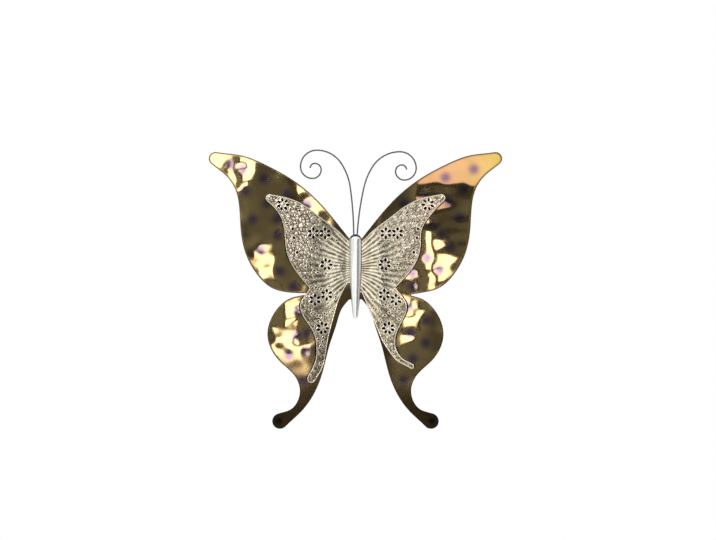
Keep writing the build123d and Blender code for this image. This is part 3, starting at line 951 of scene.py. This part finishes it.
def lace_height(x, z, rim, hole, cells):
    """Height of the embossed lace, 0 in the hollows and 1 on the ridges."""
    height = pleats_and_net(x, z, cells)
    for rosette_x, rosette_z, ring in ROSETTES_MM:
        away = np.hypot(x - rosette_x, z - rosette_z)
        share = 1 - soft_step(away, ring + ROSETTE_FADE_MM[0], ring + ROSETTE_FADE_MM[1])
        pressed = ROSETTE_LEVEL + ROSETTE_WAVE * np.cos(2 * math.pi * (away - ring) / ROSETTE_WAVE_MM)
        height += (pressed - height) * share
    collar = COLLAR_HEIGHT * (1 - soft_step(np.abs(hole - COLLAR_AT_MM), *COLLAR_FADE_MM))
    height = np.maximum(height, collar)
    border = np.sqrt(np.clip(1 - ((rim - RIM_WIDTH_MM / 2) / (RIM_WIDTH_MM / 2)) ** 2, 0, 1))
    return np.maximum(height * soft_step(rim, *RIM_GROOVE_MM), border)


print(len(ROSETTES_MM), "rosettes on each wing")

# %% [markdown]
# ## Pierced filigree: small oval holes
#
# Between the rosettes the lace has many small holes, more of them on the hind lobe. A boolean
# modifier could cut them one by one. Here they are loops for the triangulation to leave open: short
# ovals that point along the fan, in the cells with the darkest tone, and clear of every other rim
# so that no bridge of metal gets too thin.

# %% Small oval holes
OVAL_SHARE = 0.10
HIND_OVAL_SHARE = 0.08
HIND_TOP_MM = -55.0
OVAL_HALF_LENGTH_MM, OVAL_HALF_WIDTH_MM = 1.5, 0.85
OVAL_CLEARANCE_MM = 2.6
OVALS_FROM_MM = 50
OVAL_CORNERS = 12


def oval_holes(loops, cells):
    """Loops of the small holes in a wing on the right."""
    middles, turns, tones = cells
    share = OVAL_SHARE + HIND_OVAL_SHARE * (middles[:, 1] < HIND_TOP_MM)
    keep = (tones < share) & inside(middles, loops)
    keep &= rim_distance(middles, loops) > OVAL_CLEARANCE_MM
    keep &= np.hypot(*(middles - FAN_CENTRE_MM).T) > OVALS_FROM_MM
    around = np.linspace(0, 2 * math.pi, OVAL_CORNERS, endpoint=False)
    long, wide = OVAL_HALF_LENGTH_MM * np.cos(around), OVAL_HALF_WIDTH_MM * np.sin(around)
    return [middle + np.column_stack([long * math.cos(turn) - wide * math.sin(turn),
                                      long * math.sin(turn) + wide * math.cos(turn)])
            for middle, turn in zip(middles[keep], turns[keep])]


print("an oval is", 2 * OVAL_HALF_LENGTH_MM, "by", 2 * OVAL_HALF_WIDTH_MM, "mm")

# %% [markdown]
# ## Pierced filigree: the wings
#
# The pattern is worked out as for the right side and mirrored for the left, and each side has cells
# of its own. It is pressed inwards from the CAD surface, so that the wing never grows past the size
# of the CAD model, and it fades out where the flange lies under the body.

# %% Filigree wings
SILVER_STEP_MM = 0.56
SILVER_SHEET_MM = 0.7
EMBOSS_MM = 0.55
FLANGE_MM = (9, 13)


def silver_wing(node, side, seed):
    """Embossed wing that stands for a filigree wing of the CAD model: side is 1 right, -1 left."""
    loops, front = front_of(node)
    depth_at = section_curve(front)
    loops = [even_loop(loop, SILVER_STEP_MM) * (side, 1) for loop in loops]
    cells = lace_cells(seed)
    loops += oval_holes(loops, cells)
    loops = [loop * (side, 1) for loop in loops]
    flat, triangles = fill_sheet(loops, SILVER_STEP_MM)
    x, z = np.abs(flat[:, 0]), flat[:, 1]
    height = lace_height(x, z, rim_distance(flat, loops[:1]), rim_distance(flat, loops[1:]), cells)
    pressed = EMBOSS_MM * (1 - height) * soft_step(x, *FLANGE_MM)
    piece = sheet_mesh(node.replace("filigree", "silver"), flat, triangles, depth_at(x) + pressed,
                       SILVER_SHEET_MM)
    paint(piece, "height", height, height)
    piece.data.materials.append(silver)
    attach(piece, "ornament")
    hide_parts(node)
    print(" ", piece.name, len(piece.data.polygons), "faces,", len(loops) - 1, "holes")


silver_wing("right_filigree_wing", side=1, seed=5)
silver_wing("left_filigree_wing", side=-1, seed=6)

# %% [markdown]
# ## Body, wire and hanging hardware
#
# These pieces keep their CAD shape and only get a metal. The body is nickel plate, polished to a
# soft mirror. The antennae are steel wire, drawn through a die, which leaves them grey and satin.
# The hardware behind is zinc-plated steel, cloudy and matt, and the rivets are pressed aluminium.
# One even colour would look like plastic. The marks of polishing and drawing are too fine for the
# render, so each metal varies its tone and its polish over a few millimetres instead.

# %% Plain metals
SMOOTHEST, ROUGHEST = 0.8, 1.3


def plain_metal(name, dark, light, patch_mm, rough):
    """One metal whose tone and polish vary a little over patches of a given size."""
    material, tree = new_material(name)
    place = add(tree, "ShaderNodeTexCoord").outputs["Object"]
    patches = add(tree, "ShaderNodeTexNoise", Vector=place, Scale=1 / (patch_mm * MM), Detail=4.0)
    tone = add(tree, "ShaderNodeValToRGB", Fac=patches.outputs["Fac"], stops=[(0.3, dark), (0.7, light)])
    polish = add(tree, "ShaderNodeMapRange", Value=patches.outputs["Fac"], To_Min=rough * SMOOTHEST,
                 To_Max=rough * ROUGHEST)
    shader = add(tree, "ShaderNodeBsdfPrincipled", Base_Color=tone.outputs["Color"], Metallic=1.0,
                 Roughness=polish.outputs[0])
    add(tree, "ShaderNodeOutputMaterial", Surface=shader.outputs["BSDF"])
    return material


# Nickel gives near-white stripes, wire a thin grey line, zinc a dull cool grey, aluminium a pale one
METAL_OF_SLOT = {
    "polished_body": plain_metal("polished_nickel", "#eff0ed", "#fafbf9", patch_mm=8.0, rough=0.10),
    "antenna_wire": plain_metal("drawn_steel_wire", "#5c5e5f", "#7a7c7c", patch_mm=3.0, rough=0.3),
    "zinc_steel": plain_metal("zinc_plated_steel", "#9b9fa1", "#c3c6c8", patch_mm=4.0, rough=0.35),
    "aluminium_rivet": plain_metal("pressed_aluminium", "#b9bbbd", "#d2d4d5", patch_mm=2.0, rough=0.3),
}
for row in frame["record"]["subparts"]:
    metal = METAL_OF_SLOT.get(row["material_slot"])
    if metal:
        node_mesh = frame["nodes"][row["node"]].data
        node_mesh.materials.clear()
        node_mesh.materials.append(metal)
        print(" ", row["node"], "is", metal.name)

# %% [markdown]
# ## Finish
#
# The dressed ornament has to keep the size of the CAD model. The CAD model's box is printed.

# %% Sizes and finish
print("cad box", [list(corner) for corner in cad_box])
